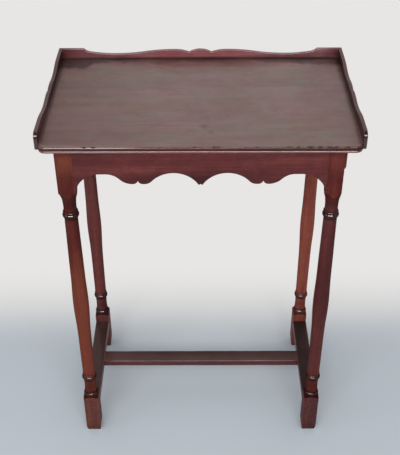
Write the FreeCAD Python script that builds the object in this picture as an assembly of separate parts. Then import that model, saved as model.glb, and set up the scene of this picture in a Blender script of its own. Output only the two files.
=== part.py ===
import FreeCAD, Part
import math
import os

from FreeCAD import Vector

# Tray-top tea table in mahogany: a moulded board inside a three-sided gallery, on a frame of
# four turned legs, four aprons and an H of low stretchers, put together with mortise and tenon.
#
# Millimetres. The origin is on the floor under the middle of the table, +Z is up, +X is to the
# sitter's right and the open edge of the tray faces -Y.

# ---------------------------------------------------------------- frame, over the legs' faces
frame_width = 469.0
frame_depth = 272.0
frame_height = 681.0  # floor to the underside of the tray board

# ---------------------------------------------------------------- legs
leg_square = 29.0
arris = 0.6  # flat taken off the sawn edges of the blocks
foot_block_height = 97.0
foot_taper_height = 12.0
foot_taper_inset = 1.6
top_block_height = 93.0

foot_shoulder_slope = 0.5  # fall of the turned shoulder for each millimetre outwards
collar_radius = 13.5
collar_height = 9.0
collar_bulge = 0.5
collar_top_radius = 12.7
lower_neck_hollow = 0.7
lower_ring_height = 146.0

ring_root_radius = 11.8
ring_flank_radius = 13.7
ring_flank_tall = 2.2
ring_radius = 14.1
ring_tall = 9.4
bead_radius = 12.9
bead_tall = 3.4

# the column: slow tapers from both ends into a swelling below the middle
column_foot_radius = 11.8
lower_taper_radius = 12.2
lower_taper_height = 262.0
swell_foot_radius = 13.0
swell_foot_height = 292.0
swell_radius = 14.35
swell_top_radius = 13.0
swell_top_height = 390.0
upper_taper_radius = 12.65
upper_taper_height = 446.0
column_head_radius = 11.6

upper_ring_drop = 143.0  # from here on, measured down from the top of the leg
upper_neck_radius = 11.4
shoulder_foot_radius = 12.0
shoulder_foot_drop = 107.0

# ---------------------------------------------------------------- aprons
apron_thickness = 17.0
apron_end_depth = 82.0
apron_bracket_tip = 2.3  # blunt tip of each bracket, against the leg
arch_depth = 55.0  # from the top of the apron to the crown of an outer arch
lobe_depth = 74.0
lobe_cleft_depth = 67.7
lobe_half_width = 8.3
back_apron_depth = 60.0

bracket_run = 39.0  # front apron, along its length
outer_arch_flat = 10.0
outer_lobe_place = 102.3  # middle of the double lobe, from the middle of the apron
inner_lobe_flat = 2.5
inner_arch_place = 44.0
inner_arch_depth = 52.8
inner_ogee_share = 0.25
tip_depth = 75.9
tip_half_width = 3.1
tip_cleft = 2.0

side_bracket_run = 33.0
side_arch_flat = 8.0

# ---------------------------------------------------------------- mortise and tenon
tenon_thickness = 7.0
tenon_setback = 5.5  # outer face of the leg to the tenon
tenon_top_shoulder = 10.0
tenon_bottom_shoulder = 12.0
mitre_gap = 0.5  # between the mitred ends of two tenons that meet in a leg

# ---------------------------------------------------------------- stretchers
stretcher_thickness = 14.0
stretcher_height = 63.0  # floor to the underside
stretcher_arris = 1.0
cross_stretcher_width = 30.0
stretcher_tenon_width = 13.0
stretcher_tenon_shoulder = 2.0
stretcher_tenon_length = 18.0
cross_tenon_shoulder = 3.0
cross_tenon_edge = 5.0
cross_tenon_length = 16.0
tenon_end_gap = 0.5

# ---------------------------------------------------------------- tray board
board_side_overhang = 19.5  # past the legs, to the inner face of a side gallery
board_front_overhang = 26.25
board_back_overhang = 20.25
board_thickness = 11.0
lower_bead_tall = 5.6
lower_bead_bulge = 1.7
upper_bead_tall = 3.6
upper_bead_bulge = 1.0
upper_bead_inset = 0.8

# ---------------------------------------------------------------- gallery
gallery_thickness = 6.0
gallery_rise = 18.4  # above the tray, at the ends
gallery_setback = 12.0  # front edge of the board to the ends of the side galleries
gallery_nose_radius = 11.0
gallery_heel_radius = 2.5

back_flat = 45.5  # plain length at each end of the back gallery
back_dip_from_flat = 58.0
back_dip_rise = 8.3
back_step_run = 12.0
back_step_foot_rise = 12.2
back_hump_place = 47.0
back_hump_rise = 16.3
back_cleft_place = 20.4
back_cleft_rise = 11.5
back_lobe_rise = 17.2

side_flat = 44.0
side_dip_place = 52.0
side_dip_rise = 12.0
side_hump_place = 17.0
side_hump_rise = 14.6
side_cleft_rise = 12.4

# ---------------------------------------------------------------- glue blocks
block_leg = 18.0
block_length = 60.0
block_nose = 3.0  # flat on the two sharp edges
long_block_place = 130.0

# ---------------------------------------------------------------- places worked out from these
half_width = frame_width / 2
half_depth = frame_depth / 2
inner_x = half_width - leg_square
inner_y = half_depth - leg_square
tray_height = frame_height + board_thickness
board_side = half_width + board_side_overhang
board_front = -half_depth - board_front_overhang
board_back = half_depth + board_back_overhang
gallery_side = board_side + gallery_thickness
gallery_back = board_back + gallery_thickness
gallery_top = tray_height + gallery_rise
gallery_front = board_front + gallery_setback
stretcher_top = stretcher_height + stretcher_thickness
upper_ring_height = frame_height - upper_ring_drop
leg_corner = leg_square / math.sqrt(2)

up = Vector(0, 0, 1)


# ================================================================ drawing helpers
class Outline:
    """A line drawn stretch by stretch in the XY plane, as edges for a wire."""

    def __init__(self, x, y):
        self.start = Vector(x, y, 0)
        self.at = self.start
        self.heading = None
        self.edges = []

    def line_to(self, x, y):
        end = Vector(x, y, 0)
        if (end - self.at).Length > 1e-6:
            self.edges.append(Part.LineSegment(self.at, end).toShape())
            self.heading = (end - self.at).normalize()
            self.at = end
        return self

    def taper_to(self, x, y):
        """A long straight line as a spline: turned on the lathe it makes a light mesh."""
        curve = Part.BSplineCurve()
        curve.interpolate([self.at, Vector(x, y, 0)])
        self.edges.append(curve.toShape())
        self.at = Vector(x, y, 0)
        return self

    def arc_to(self, x, y, leave=None, arrive=None):
        """Arc to a point, leaving or arriving along a heading; else it goes on smoothly."""
        end = Vector(x, y, 0)
        chord = end - self.at
        along = math.atan2(chord.y, chord.x)
        if arrive is not None:
            turn = along - math.atan2(arrive[1], arrive[0])
        else:
            way = self.heading if leave is None else Vector(leave[0], leave[1], 0)
            turn = math.atan2(way.y, way.x) - along
        turn = math.atan2(math.sin(turn), math.cos(turn))
        side = Vector(-chord.y, chord.x, 0)
        middle = (self.at + end) * 0.5 + side * (0.5 * math.tan(turn / 2))
        self.edges.append(Part.Arc(self.at, middle, end).toShape())
        self.heading = Vector(math.cos(along - turn), math.sin(along - turn), 0)
        self.at = end
        return self

    def ogee_to(self, x, y, way=1, share=0.5):
        """Two arcs, level at both ends, that turn into each other at a share of the way."""
        turn_x = self.at.x + share * (x - self.at.x)
        turn_y = self.at.y + share * (y - self.at.y)
        self.arc_to(turn_x, turn_y, leave=(way, 0))
        return self.arc_to(x, y, arrive=(way, 0))

    def bulge_to(self, x, y, out):
        """Arc whose middle stands out to the right of its chord."""
        end = Vector(x, y, 0)
        chord = end - self.at
        side = Vector(chord.y, -chord.x, 0).normalize()
        middle = (self.at + end) * 0.5 + side * out
        self.edges.append(Part.Arc(self.at, middle, end).toShape())
        self.at = end
        return self

    def mirrored(self):
        """The same edges on the other side of the Y axis."""
        return [edge.mirror(Vector(0, 0, 0), Vector(1, 0, 0)) for edge in self.edges]

    def face(self, more=()):
        """The closed face inside the outline, with any more edges that close it."""
        edges = self.edges + list(more)
        return Part.Face(Part.Wire(Part.__sortEdges__(edges)))


def upright(face):
    """Stand a face drawn in XY upright, so that its Y becomes Z and its front faces -Y."""
    return face.rotate(Vector(0, 0, 0), Vector(1, 0, 0), 90)


def box(x0, x1, y0, y1, z0, z1):
    """Box between two corners."""
    return Part.makeBox(x1 - x0, y1 - y0, z1 - z0, Vector(x0, y0, z0))


def prism(plan, z0, z1):
    """Upright prism on a polygon drawn in plan."""
    corners = [Vector(x, y, z0) for x, y in plan]
    face = Part.Face(Part.makePolygon(corners + corners[:1]))
    return face.extrude(Vector(0, 0, z1 - z0))


def edges_along(shape, direction):
    """Straight edges that run along a direction."""
    found = []
    for edge in shape.Edges:
        if edge.Curve.TypeId != "Part::GeomLine":
            continue
        run = edge.Vertexes[-1].Point - edge.Vertexes[0].Point
        if run.Length > 1e-6 and run.normalize().cross(direction).Length < 1e-6:
            found.append(edge)
    return found


def flip_x(shape):
    return shape.mirror(Vector(0, 0, 0), Vector(1, 0, 0))


def flip_y(shape):
    return shape.mirror(Vector(0, 0, 0), Vector(0, 1, 0))


# ================================================================ joints
def long_tenon(depth, gap):
    """Tenon of a front or back apron in the front left leg; its end is mitred."""
    outer = -half_depth + tenon_setback
    inner = outer + tenon_thickness
    tip = -half_width + gap
    plan = [
        (-inner_x, outer),
        (-inner_x, inner),
        (tip + tenon_setback + tenon_thickness, inner),
        (tip + tenon_setback, outer),
    ]
    return prism(plan, frame_height - depth + tenon_bottom_shoulder, frame_height - tenon_top_shoulder)


def short_tenon(depth, gap):
    """Tenon of a side apron in the front left leg; its end is mitred."""
    outer = -half_width + tenon_setback
    inner = outer + tenon_thickness
    tip = -half_depth + gap
    plan = [
        (outer, -inner_y),
        (inner, -inner_y),
        (inner, tip + tenon_setback + tenon_thickness),
        (outer, tip + tenon_setback),
    ]
    return prism(plan, frame_height - depth + tenon_bottom_shoulder, frame_height - tenon_top_shoulder)


def side_stretcher_tenon(end_gap):
    """Tenon of the left stretcher in the front left foot block."""
    middle = -half_width + leg_square / 2
    return box(
        middle - stretcher_tenon_width / 2,
        middle + stretcher_tenon_width / 2,
        -inner_y - stretcher_tenon_length - end_gap,
        -inner_y,
        stretcher_height + stretcher_tenon_shoulder,
        stretcher_top - stretcher_tenon_shoulder,
    )


def cross_stretcher_tenon(end_gap):
    """Tenon of the cross stretcher in the left stretcher."""
    return box(
        -inner_x - cross_tenon_length - end_gap,
        -inner_x,
        -cross_stretcher_width / 2 + cross_tenon_edge,
        cross_stretcher_width / 2 - cross_tenon_edge,
        stretcher_height + cross_tenon_shoulder,
        stretcher_top - cross_tenon_shoulder,
    )


# ================================================================ legs
def ring(line, height, radius_above):
    """Turned ring with a small bead above it, drawn upwards on a leg's profile."""
    foot = height - ring_tall / 2
    top = height + ring_tall / 2
    line.line_to(ring_flank_radius, foot + ring_flank_tall)
    line.bulge_to(ring_flank_radius, top - ring_flank_tall, ring_radius - ring_flank_radius)
    line.line_to(ring_root_radius, top)
    line.line_to(bead_radius, top + bead_tall / 2).line_to(radius_above, top + bead_tall)


def leg_profile():
    """Half section of a leg as the lathe cuts it: X is the radius, Y the height."""
    clear = leg_square  # radius outside the square, where the lathe takes nothing
    block_foot = frame_height - top_block_height
    shoulder_foot = frame_height - shoulder_foot_drop
    line = Outline(0, 0).line_to(clear, 0)
    line.line_to(clear, foot_block_height - foot_shoulder_slope * (clear - collar_radius))
    line.line_to(collar_radius, foot_block_height)
    line.bulge_to(collar_top_radius, foot_block_height + collar_height, collar_bulge)
    line.bulge_to(ring_root_radius, lower_ring_height - ring_tall / 2, -lower_neck_hollow)
    ring(line, lower_ring_height, column_foot_radius)
    line.taper_to(lower_taper_radius, lower_taper_height)
    line.taper_to(swell_foot_radius, swell_foot_height)
    swell = swell_radius - (swell_foot_radius + swell_top_radius) / 2
    line.bulge_to(swell_top_radius, swell_top_height, swell)
    line.taper_to(upper_taper_radius, upper_taper_height)
    line.taper_to(column_head_radius, upper_ring_height - ring_tall / 2)
    ring(line, upper_ring_height, upper_neck_radius)
    line.taper_to(shoulder_foot_radius, shoulder_foot)
    shoulder_slope = (block_foot - shoulder_foot) / (leg_corner - shoulder_foot_radius)
    line.line_to(clear, shoulder_foot + shoulder_slope * (clear - shoulder_foot_radius))
    line.line_to(clear, frame_height).line_to(0, frame_height).line_to(0, 0)
    return line.face()


def leg_plan(half, height):
    """The leg's square with its four edges taken off, as a wire."""
    corners = []
    for turn_x, turn_y in ((1, 1), (-1, 1), (-1, -1), (1, -1)):
        on_x = Vector(turn_x * half, turn_y * (half - arris), height)
        on_y = Vector(turn_x * (half - arris), turn_y * half, height)
        corners += [on_x, on_y] if turn_x == turn_y else [on_y, on_x]
    return Part.makePolygon(corners + corners[:1])


def blank_leg():
    """A leg without its mortises, on the Z axis: the square blank cut by the lathe."""
    turned = upright(leg_profile()).revolve(Vector(0, 0, 0), up, 360)
    rim = leg_plan(leg_square / 2, foot_taper_height)
    sole = leg_plan(leg_square / 2 - foot_taper_inset, 0)
    square = Part.Face(rim).extrude(up * (frame_height - foot_taper_height))
    foot = Part.makeLoft([sole, rim], True, True)
    return square.common(turned).fuse(foot).removeSplitter()


def leg(blank, side_x, side_y):
    """A leg in its corner, with the mortises that its aprons and stretcher need."""
    long_depth = apron_end_depth if side_y < 0 else back_apron_depth
    mortises = long_tenon(long_depth, 0).fuse(
        [short_tenon(apron_end_depth, 0), side_stretcher_tenon(tenon_end_gap)]
    )
    shape = blank.translated(Vector(leg_square / 2 - half_width, leg_square / 2 - half_depth, 0))
    shape = shape.cut(mortises)
    if side_x > 0:
        shape = flip_x(shape)
    if side_y > 0:
        shape = flip_y(shape)
    return shape


# ================================================================ aprons
def front_apron_face():
    """Front of the shaped apron, in X and height below the top."""
    half = inner_x
    bracket = half - apron_bracket_tip
    crown = bracket - bracket_run
    line = Outline(0, -tip_depth + tip_cleft).line_to(tip_half_width, -tip_depth)
    line.arc_to(inner_arch_place, -inner_arch_depth, arrive=(1, 0))
    inner_lobe = outer_lobe_place - lobe_half_width
    line.ogee_to(inner_lobe - inner_lobe_flat, -lobe_depth, share=1 - inner_ogee_share)
    line.line_to(inner_lobe, -lobe_depth)
    line.arc_to(outer_lobe_place, -lobe_cleft_depth, leave=(1, 0))
    line.arc_to(outer_lobe_place + lobe_half_width, -lobe_depth, arrive=(1, 0))
    line.ogee_to(crown - outer_arch_flat, -arch_depth)
    line.line_to(crown, -arch_depth)
    line.arc_to(bracket, -apron_end_depth, leave=(1, 0))
    line.line_to(half, -apron_end_depth).line_to(half, 0)
    top = Part.LineSegment(Vector(-half, 0, 0), Vector(half, 0, 0)).toShape()
    return line.face(line.mirrored() + [top])


def side_apron_face():
    """Outer side of a shaped side apron: one arch each side of a double lobe."""
    half = inner_y
    bracket = half - apron_bracket_tip
    crown = bracket - side_bracket_run
    line = Outline(0, -lobe_cleft_depth)
    line.arc_to(lobe_half_width, -lobe_depth, arrive=(1, 0))
    line.ogee_to(crown - side_arch_flat, -arch_depth)
    line.line_to(crown, -arch_depth)
    line.arc_to(bracket, -apron_end_depth, leave=(1, 0))
    line.line_to(half, -apron_end_depth).line_to(half, 0)
    top = Part.LineSegment(Vector(-half, 0, 0), Vector(half, 0, 0)).toShape()
    return line.face(line.mirrored() + [top])


def back_apron_face():
    """The back apron is a plain board."""
    line = Outline(-inner_x, 0).line_to(-inner_x, -back_apron_depth)
    line.line_to(inner_x, -back_apron_depth).line_to(inner_x, 0).line_to(-inner_x, 0)
    return line.face()


def hang(face, outer_y):
    """Apron board with its top under the tray board and its outer face at outer_y, in X."""
    board = upright(face).extrude(Vector(0, -apron_thickness, 0))
    return board.translated(Vector(0, outer_y + apron_thickness, frame_height))


def long_apron(face, depth):
    """Front apron, or the back one before it is turned to the back."""
    tenon = long_tenon(depth, mitre_gap / 2)
    return hang(face, -half_depth).fuse([tenon, flip_x(tenon)])


def left_apron():
    """Left side apron."""
    board = hang(side_apron_face(), -half_width)
    board = board.rotate(Vector(0, 0, 0), up, -90)
    tenon = short_tenon(apron_end_depth, mitre_gap / 2)
    return board.fuse([tenon, flip_y(tenon)])


# ================================================================ stretchers
def left_stretcher():
    """Side stretcher, as wide as the foot blocks and tenoned between them."""
    bar = box(-half_width, -inner_x, -inner_y, inner_y, stretcher_height, stretcher_top)
    bar = bar.makeChamfer(stretcher_arris, edges_along(bar, Vector(0, 1, 0)))
    tenon = side_stretcher_tenon(0)
    return bar.fuse([tenon, flip_y(tenon)]).cut(cross_stretcher_tenon(tenon_end_gap))


def cross_stretcher():
    """Stretcher that joins the two side stretchers half way along them."""
    half = cross_stretcher_width / 2
    bar = box(-inner_x, inner_x, -half, half, stretcher_height, stretcher_top)
    bar = bar.makeChamfer(stretcher_arris, edges_along(bar, Vector(1, 0, 0)))
    tenon = cross_stretcher_tenon(0)
    return bar.fuse([tenon, flip_x(tenon)])


# ================================================================ tray board
def nosing_section():
    """Section of the front moulding: X runs inwards from the edge, Y up from the underside."""
    upper_foot = board_thickness - upper_bead_tall
    line = Outline(gallery_setback, 0).line_to(lower_bead_bulge, 0)
    line.bulge_to(lower_bead_bulge, lower_bead_tall, -lower_bead_bulge)
    line.line_to(upper_bead_inset + upper_bead_bulge, upper_foot)
    line.bulge_to(upper_bead_inset + upper_bead_bulge, board_thickness, -upper_bead_bulge)
    line.line_to(gallery_setback, board_thickness).line_to(gallery_setback, 0)
    return line.face()


def tray_board():
    """Solid board: its front edge and rounded front corners carry two beads."""
    straight = board_side - gallery_setback
    core = box(-board_side, board_side, gallery_front, board_back, frame_height, tray_height)
    section = nosing_section()
    section.translate(Vector(-gallery_setback, 0, 0))
    corner_face = upright(section)
    front_face = corner_face.copy().rotate(Vector(0, 0, 0), up, 90)
    front = front_face.extrude(Vector(2 * straight, 0, 0))
    front = front.translated(Vector(-straight, gallery_front, frame_height))
    corner = corner_face.revolve(Vector(0, 0, 0), up, 90)
    corner = corner.translated(Vector(-straight, gallery_front, frame_height))
    return core.fuse([front, corner, flip_x(corner)]).removeSplitter()


# ================================================================ gallery
def back_gallery_face():
    """Outline of the back gallery, in X and height above its foot."""
    foot = board_thickness
    flat = gallery_side - back_flat
    dip = flat - back_dip_from_flat
    line = Outline(0, foot + back_lobe_rise)
    line.arc_to(back_cleft_place, foot + back_cleft_rise, leave=(1, 0))
    line.arc_to(back_hump_place, foot + back_hump_rise, arrive=(1, 0))
    line.ogee_to(dip, foot + back_dip_rise)
    line.arc_to(flat - back_step_run, foot + back_step_foot_rise, leave=(1, 0))
    line.arc_to(flat, foot + gallery_rise)
    line.line_to(gallery_side, foot + gallery_rise).line_to(gallery_side, 0)
    bottom = Part.LineSegment(Vector(-gallery_side, 0, 0), Vector(gallery_side, 0, 0)).toShape()
    return line.face(line.mirrored() + [bottom])


def side_gallery_face():
    """Outline of a side gallery, in Y and height above its foot; its front end is rounded."""
    foot = board_thickness
    top = foot + gallery_rise
    front = gallery_front
    back = gallery_back
    middle = (front + back) / 2
    nose = gallery_nose_radius
    heel = gallery_heel_radius
    line = Outline(back, 0).line_to(back, top).line_to(back - side_flat, top)
    line.ogee_to(middle + side_dip_place, foot + side_dip_rise, way=-1)
    line.ogee_to(middle + side_hump_place, foot + side_hump_rise, way=-1)
    line.arc_to(middle, foot + side_cleft_rise, leave=(-1, 0))
    line.arc_to(middle - side_hump_place, foot + side_hump_rise, arrive=(-1, 0))
    line.ogee_to(middle - side_dip_place, foot + side_dip_rise, way=-1)
    line.ogee_to(front + side_flat, top, way=-1)
    line.line_to(front + nose, top)
    line.arc_to(front, top - nose, leave=(-1, 0)).line_to(front, heel)
    line.arc_to(front + heel, 0, leave=(0, -1)).line_to(back, 0)
    return line.face()


def back_gallery():
    """Back gallery, mitred to the side ones."""
    strip = upright(back_gallery_face()).extrude(Vector(0, -gallery_thickness, 0))
    strip = strip.translated(Vector(0, gallery_back, frame_height))
    plan = [
        (-gallery_side, gallery_back),
        (-board_side, board_back),
        (board_side, board_back),
        (gallery_side, gallery_back),
    ]
    return strip.common(prism(plan, frame_height, gallery_top))


def left_gallery():
    """Left gallery."""
    strip = upright(side_gallery_face()).extrude(Vector(0, -gallery_thickness, 0))
    strip = strip.rotate(Vector(0, 0, 0), up, 90)
    strip = strip.translated(Vector(-gallery_side, 0, frame_height))
    plan = [
        (-gallery_side, gallery_front),
        (-board_side, gallery_front),
        (-board_side, board_back),
        (-gallery_side, gallery_back),
    ]
    return strip.common(prism(plan, frame_height, gallery_top))


# ================================================================ glue blocks
def turn_left(shape):
    """Take what is drawn for the front, at the side's distance, to the left side."""
    return shape.copy().rotate(Vector(0, 0, 0), up, -90)


def glue_block():
    """Three-cornered block under the front edge of the board, in the middle of its apron."""
    back = -half_depth + apron_thickness
    section = [
        Vector(0, back, frame_height),
        Vector(0, back + block_leg, frame_height),
        Vector(0, back + block_leg, frame_height - block_nose),
        Vector(0, back + block_nose, frame_height - block_leg),
        Vector(0, back, frame_height - block_leg),
    ]
    face = Part.Face(Part.makePolygon(section + section[:1]))
    return face.extrude(Vector(block_length, 0, 0)).translated(Vector(-block_length / 2, 0, 0))


# ================================================================ build
def build():
    """Every piece of the table by name."""
    parts = {}
    parts["top_board"] = tray_board()

    left = left_gallery()
    parts["gallery_back"] = back_gallery()
    parts["gallery_left"] = left
    parts["gallery_right"] = flip_x(left)

    left = left_apron()
    parts["apron_front"] = long_apron(front_apron_face(), apron_end_depth)
    parts["apron_back"] = flip_y(long_apron(back_apron_face(), back_apron_depth))
    parts["apron_left"] = left
    parts["apron_right"] = flip_x(left)

    blank = blank_leg()
    for row, side_y in (("front", -1), ("back", 1)):
        for side, side_x in (("left", -1), ("right", 1)):
            parts["leg_" + row + "_" + side] = leg(blank, side_x, side_y)

    left = left_stretcher()
    parts["stretcher_left"] = left
    parts["stretcher_right"] = flip_x(left)
    parts["stretcher_cross"] = cross_stretcher()

    block = glue_block()
    for side, place in (("left", -long_block_place), ("right", long_block_place)):
        front = block.translated(Vector(place, 0, 0))
        parts["glue_block_front_" + side] = front
        parts["glue_block_back_" + side] = flip_y(front)
    inward = block.translated(Vector(0, half_depth - half_width, 0))
    left = turn_left(inward)
    parts["glue_block_left"] = left
    parts["glue_block_right"] = flip_x(left)
    return parts


os.makedirs("parts", exist_ok=True)
for name, shape in build().items():
    shape.exportStep("parts/" + name + ".step")
    print(name, len(shape.Solids), shape.isValid(), round(shape.Volume / 1000, 1))
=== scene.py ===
"""Tray-top tea table: the dressed pieces, their finishes and a plain studio round them.

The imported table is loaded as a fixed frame, in metres, with the floor at Z 0, the sitter's right
at +X and the open edge of the tray towards -Y. Shapes are worked out in millimetres.
"""

import math

import bmesh
import bpy
import numpy as np
from bpy.props import FloatProperty, FloatVectorProperty, PointerProperty
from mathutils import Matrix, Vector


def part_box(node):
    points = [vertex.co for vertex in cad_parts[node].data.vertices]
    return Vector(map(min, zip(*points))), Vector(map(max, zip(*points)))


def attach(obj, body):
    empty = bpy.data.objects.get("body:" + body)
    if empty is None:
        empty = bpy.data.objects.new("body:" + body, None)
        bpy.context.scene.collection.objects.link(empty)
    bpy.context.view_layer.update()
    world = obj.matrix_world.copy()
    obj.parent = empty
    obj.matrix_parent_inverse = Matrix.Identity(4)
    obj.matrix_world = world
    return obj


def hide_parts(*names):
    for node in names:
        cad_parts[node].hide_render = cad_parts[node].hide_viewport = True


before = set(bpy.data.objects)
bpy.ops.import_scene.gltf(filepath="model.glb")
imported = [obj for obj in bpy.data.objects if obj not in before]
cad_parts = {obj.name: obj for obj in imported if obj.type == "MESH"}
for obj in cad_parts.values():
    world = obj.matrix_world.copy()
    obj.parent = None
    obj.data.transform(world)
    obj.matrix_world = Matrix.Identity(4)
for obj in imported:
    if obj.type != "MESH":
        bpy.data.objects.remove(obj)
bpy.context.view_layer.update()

bl_info = {
    "name": "Tray-top tea table",
    "version": (1, 0, 0),
    "blender": (4, 5, 0),
    "location": "View3D > Sidebar > Tea table",
    "description": "Makes a mahogany tea table on turned legs, with a tray top, piece by piece",
    "category": "Object",
}

MM = 0.001
LEVEL = 0  # heading of a line that runs level to the right
QUARTER = math.pi / 2
ALONG_X, ALONG_Y, ALONG_Z = 0, 1, 2

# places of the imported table
BOARD_LOW, BOARD_HIGH = (np.array(corner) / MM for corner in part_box("top_board"))
LEG_LOW, LEG_HIGH = (np.array(corner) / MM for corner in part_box("leg_front_left"))
HALF_WIDTH, HALF_DEPTH, FRAME_HEIGHT = -LEG_LOW[0], -LEG_LOW[1], LEG_HIGH[2]
LEG_SQUARE = LEG_HIGH[0] - LEG_LOW[0]
INNER_X, INNER_Y = HALF_WIDTH - LEG_SQUARE, HALF_DEPTH - LEG_SQUARE
BOARD_THICKNESS = BOARD_HIGH[2] - FRAME_HEIGHT


# ---- sizes and colours
def length(name, description, millimetres):
    size = millimetres * MM
    return FloatProperty(
        name=name, description=description, default=size, min=0, precision=4, unit="LENGTH"
    )


def colour(name, description, *shade):
    return FloatVectorProperty(
        name=name, description=description, default=shade, min=0, max=1, subtype="COLOR"
    )


def power(name, description, watts):
    return FloatProperty(name=name, description=description, default=watts, unit="POWER")


class TeaTableTray(bpy.types.PropertyGroup):
    corner: length("Corner radius", "Radius of the rounded front corners of the board", 12)
    lower_bead: length("Lower bead", "Height of the lower bead of the moulded edge", 4.8)
    upper_bead: length("Upper bead", "Height of the upper bead of the moulded edge", 3.6)
    upper_inset: length("Upper bead inset", "How far the upper bead stands back", 0.8)
    quirk: length("Quirk depth", "Depth of the groove between the two beads", 2.9)
    softness: length("Gallery edges", "Radius of the worn edges of the gallery", 1.1)
    nose: length("Gallery nose", "Radius of the front ends of the side galleries", 11)


class TeaTableApron(bpy.types.PropertyGroup):
    thickness: length("Thickness", "Thickness of the apron boards", 17)
    end_depth: length("Bracket depth", "Depth of a shaped apron against its legs", 82)
    arch_depth: length("Arch depth", "Depth of a shaped apron at the crown of an arch", 55)
    lobe_depth: length("Lobe depth", "Depth of the double lobes", 74)
    cleft_depth: length("Cleft depth", "Depth at the cleft of a double lobe", 67.7)
    pendant_depth: length("Pendant depth", "Depth of the pointed drop in the middle", 75.9)
    back_depth: length("Back depth", "Depth of the plain back apron", 60)
    softness: length("Sawn edges", "Radius of the eased sawn edges", 0.7)


class TeaTableLegs(bpy.types.PropertyGroup):
    foot_block: length("Foot block", "Height of the square foot block", 97)
    top_block: length("Top block", "Height of the square block at the head of the leg", 93)
    arris: length("Arrises", "Radius of the eased edges of the blocks", 1.1)
    collar: length("Collar radius", "Radius of the cushion above the foot block", 14.1)
    ring: length("Ring radius", "Radius of the two turned rings", 14.2)
    ring_height: length("Ring height", "Height of a turned ring along the leg", 9.4)
    bead: length("Bead radius", "Radius of the small bead above each ring", 12.9)


class TeaTableStretchers(bpy.types.PropertyGroup):
    height: length("Height", "Floor to the underside of the stretchers", 63)
    thickness: length("Thickness", "Thickness of the stretchers", 14)
    cross_width: length("Cross width", "Width of the cross stretcher", 30)
    softness: length("Edges", "Radius of the eased long edges", 1.3)


class TeaTableFinish(bpy.types.PropertyGroup):
    dark: colour("Dark wood", "Darkest streaks of the polished mahogany", 0.045, 0.0075, 0.006)
    middle: colour("Middle wood", "Common colour of the polished mahogany", 0.125, 0.020, 0.014)
    light: colour("Light wood", "Palest streaks of the polished mahogany", 0.230, 0.052, 0.028)
    # also the colour of the painted glints and the painted pink highlight on the tray
    worn: colour("Worn wood", "Edges where the polish has rubbed through", 0.270, 0.090, 0.065)
    # colour of old wax and dust, and also of the painted shade on gallery ends, ring undersides,
    # the tray's sides and the right stretcher
    grime_and_shade_colour: colour("Old wax", "Dark wax and dust in corners and grooves", 0.016, 0.008, 0.007)
    haze: colour("Bleached film", "Greyed old polish on the tray", 0.145, 0.106, 0.094)
    bare: colour("Bare wood", "Unpolished wood of the hidden blocks", 0.300, 0.135, 0.075)


class TeaTableStage(bpy.types.PropertyGroup):
    floor: colour("Floor", "Colour of the floor under the table", 0.47, 0.52, 0.57)
    backdrop: colour("Backdrop", "Colour of the floor and air behind the table", 0.80, 0.79, 0.78)
    key: power("Key lamp", "Power of the wide lamp in front", 60)
    fill: power("Side lamps", "Power of each side lamp", 5)


# ---- lines and values
def shares(count):
    """Even shares of a way, without its start."""
    return np.linspace(0, 1, count + 1)[1:]


def ramp(values, start, end):
    """0 up to the start, 1 from the end on, and straight in between."""
    return np.clip((values - start) / (end - start), 0, 1)


def bump_at(values, middle, half):
    """Bell curve exp(-((x - middle) / half) ** 2)."""
    return np.exp(-(((values - middle) / half) ** 2))


def smoothed(values, window):
    """Each value averaged with its neighbours, weighed by a window."""
    return np.convolve(np.pad(values, len(window) // 2, "edge"), window / window.sum(), "valid")


def wander(places, size, pitch, seed):
    """Smooth random values along a line of places: a sum of five sines, each half as long and
    seven tenths as high as the one before, with phases drawn from a seed; at most about size."""
    draw = np.random.default_rng(seed)
    total = np.zeros_like(places, dtype=float)
    for octave in range(5):
        phase = draw.uniform(0, 2 * math.pi)
        total += 0.7**octave * np.sin(2 * math.pi * places * 2**octave / pitch + phase)
    return size * total / 2.8


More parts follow.
